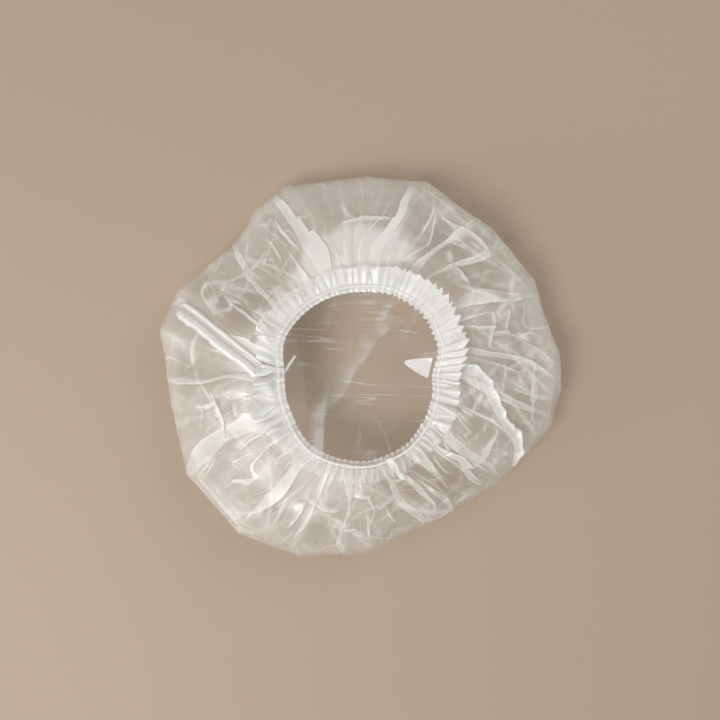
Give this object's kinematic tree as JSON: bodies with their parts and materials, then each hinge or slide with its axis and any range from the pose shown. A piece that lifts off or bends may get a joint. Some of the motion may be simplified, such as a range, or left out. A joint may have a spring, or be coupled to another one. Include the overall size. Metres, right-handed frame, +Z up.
{
  "type": "disposable shower cap",
  "caption": "Thin translucent film shower cap lying crown down, its elasticated opening with a frilled hem facing up and welded side seams ending in small tabs.",
  "frame": {"origin": "on the surface that the cap lies on, under the middle of its outline", "axes": "+Z up, out of the head opening; +X towards the right side seam, along the outline's longer way; +Y towards the forehead side of the opening"},
  "size_m": [0.2896, 0.2742, 0.0768],
  "materials": {
    "film": "thin frosted polyethylene film, nearly clear in one layer, white where it is folded",
    "gathered_film": "the same film in many gathered or welded layers, milky white with a soft gloss",
    "elastic": "covered white elastic thread, matt"
  },
  "bodies": {
    "root": {"crown_floor": "film", "crown_lower_side": "film", "crown_upper_side": "film", "crown_shoulder": "film", "crown_top": "film", "rim_elastic": "elastic", "frilled_hem": "gathered_film", "side_seam_right": "gathered_film", "side_seam_left": "gathered_film", "seam_tab_right": "gathered_film", "seam_tab_left": "gathered_film"}
  },
  "joints": []
}
